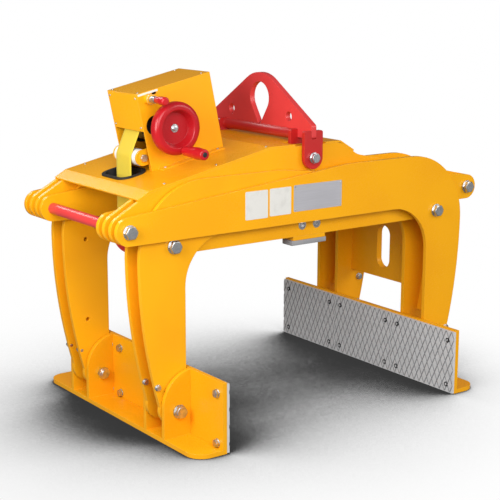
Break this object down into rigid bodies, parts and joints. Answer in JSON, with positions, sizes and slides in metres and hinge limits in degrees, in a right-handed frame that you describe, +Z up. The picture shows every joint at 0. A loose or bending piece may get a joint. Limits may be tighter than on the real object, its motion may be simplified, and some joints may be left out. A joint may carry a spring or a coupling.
{
  "type": "lifting tongs",
  "caption": "Crossed-arm block lifting tongs: hinged plate arms with tilting rubber-faced jaws, a lifting bail, and a hand winch with strap for setting the opening.",
  "frame": {"origin": "middle of the footprint, on the floor the jaws stand on", "axes": "+X along the beam to the right in the picture, +Y to the back, +Z up"},
  "size_m": [1.244, 0.8, 0.932],
  "materials": {
    "yellow_paint": "satin powder coat",
    "red_paint": "satin paint",
    "zinc": "bright zinc plate",
    "dark_steel": "blackened",
    "grip_rubber": "matte, diamond ribbed",
    "stop_rubber": "matte",
    "black_rubber": "matte",
    "webbing": "woven polyester",
    "red_plastic": "moulded gloss",
    "white_plastic": "turned"
  },
  "bodies": {
    "frame": {"frame_plate_front_outer": "yellow_paint", "frame_plate_front_inner": "yellow_paint", "frame_plate_back_outer": "yellow_paint", "frame_plate_back_inner": "yellow_paint", "deck_plate": "yellow_paint", "strap_ring": "black_rubber", "load_stop_blocks": "yellow_paint", "load_stop_pads": "stop_rubber", "load_stop_bolts": "zinc", "knuckle_bars": "red_paint", "knuckle_bolts": "zinc", "knuckle_spacers": "yellow_paint", "bail_bolts": "zinc", "winch_front": "yellow_paint", "winch_back": "yellow_paint", "winch_cover": "yellow_paint", "winch_end_panel": "yellow_paint", "winch_bearing": "dark_steel", "lock_housing": "zinc", "roller_cheeks": "yellow_paint", "roller_pin": "zinc", "strap_upper": "webbing", "strap_lower": "webbing", "strap_anchor": "yellow_paint"},
    "bail": {"bail_plate": "red_paint", "bail_bar": "red_paint", "bail_hangers": "red_paint"},
    "winch_wheel": {"handwheel": "red_paint", "winch_shaft": "zinc", "strap_spool": "dark_steel", "strap_roll": "webbing"},
    "crank": {"crank_handle": "red_plastic"},
    "lock": {"lock_pin": "zinc", "lock_knob": "red_plastic"},
    "roller": {"guide_roller": "white_plastic"},
    "arm_a": {"arm_a_front_outer": "yellow_paint", "arm_a_front_inner": "yellow_paint", "arm_a_back_outer": "yellow_paint", "arm_a_back_inner": "yellow_paint", "arm_a_webs": "yellow_paint", "arm_a_corner_bolts": "zinc", "arm_a_leg_bolts": "zinc", "tie_plate": "yellow_paint"},
    "arm_b": {"arm_b_front_outer": "yellow_paint", "arm_b_front_inner": "yellow_paint", "arm_b_back_outer": "yellow_paint", "arm_b_back_inner": "yellow_paint", "arm_b_webs": "yellow_paint", "arm_b_corner_bolts": "zinc", "arm_b_leg_bolts": "zinc", "sheave_shaft": "zinc"},
    "sheave": {"strap_sheave": "red_paint"},
    "jaw_a": {"jaw_a_pad": "grip_rubber", "jaw_a_plate": "yellow_paint", "jaw_a_shoe": "yellow_paint", "jaw_a_bolts": "zinc"},
    "jaw_b": {"jaw_b_pad": "grip_rubber", "jaw_b_plate": "yellow_paint", "jaw_b_shoe": "yellow_paint", "jaw_b_bolts": "zinc"}
  },
  "joints": [
    {"name": "arm_a_swing", "type": "hinge", "parent": "frame", "child": "arm_a", "pos_m": [-0.586, 0, 0.568], "axis": [0, 1, 0], "range_deg": [0, 18]},
    {"name": "arm_b_swing", "type": "hinge", "parent": "frame", "child": "arm_b", "pos_m": [0.586, 0, 0.568], "axis": [0, -1, 0], "range_deg": [0, 18], "deforming": ["strap_lower"]},
    {"name": "jaw_a_tilt", "type": "hinge", "parent": "arm_a", "child": "jaw_a", "pos_m": [0.447, 0, 0.08], "axis": [0, -1, 0], "range_deg": [0, 20]},
    {"name": "jaw_b_tilt", "type": "hinge", "parent": "arm_b", "child": "jaw_b", "pos_m": [-0.447, 0, 0.08], "axis": [0, 1, 0], "range_deg": [0, 20]},
    {"name": "bail_swing", "type": "hinge", "parent": "frame", "child": "bail", "pos_m": [0, 0, 0.702], "axis": [0, 1, 0], "range_deg": [-20, 20]},
    {"name": "winch_turn", "type": "hinge", "parent": "frame", "child": "winch_wheel", "pos_m": [-0.36747, -0.11, 0.79547], "axis": [0, 1, 0], "continuous": true},
    {"name": "crank_handle_spin", "type": "hinge", "parent": "winch_wheel", "child": "crank", "pos_m": [-0.35147, -0.18, 0.73797], "axis": [0, 1, 0], "continuous": true},
    {"name": "guide_roller_spin", "type": "hinge", "parent": "frame", "child": "roller", "pos_m": [-0.428, 0, 0.716], "axis": [0, 1, 0], "continuous": true},
    {"name": "strap_sheave_spin", "type": "hinge", "parent": "arm_b", "child": "sheave", "pos_m": [-0.393, 0, 0.509], "axis": [0, 1, 0], "continuous": true},
    {"name": "lock_pull", "type": "slide", "parent": "frame", "child": "lock", "axis": [0, -1, 0], "range_m": [0, 0.012], "stiffness_N_per_m": 400}
  ],
  "couplings": [
    {"joint": "arm_b_swing", "follows": "arm_a_swing", "ratio": 1}
  ]
}
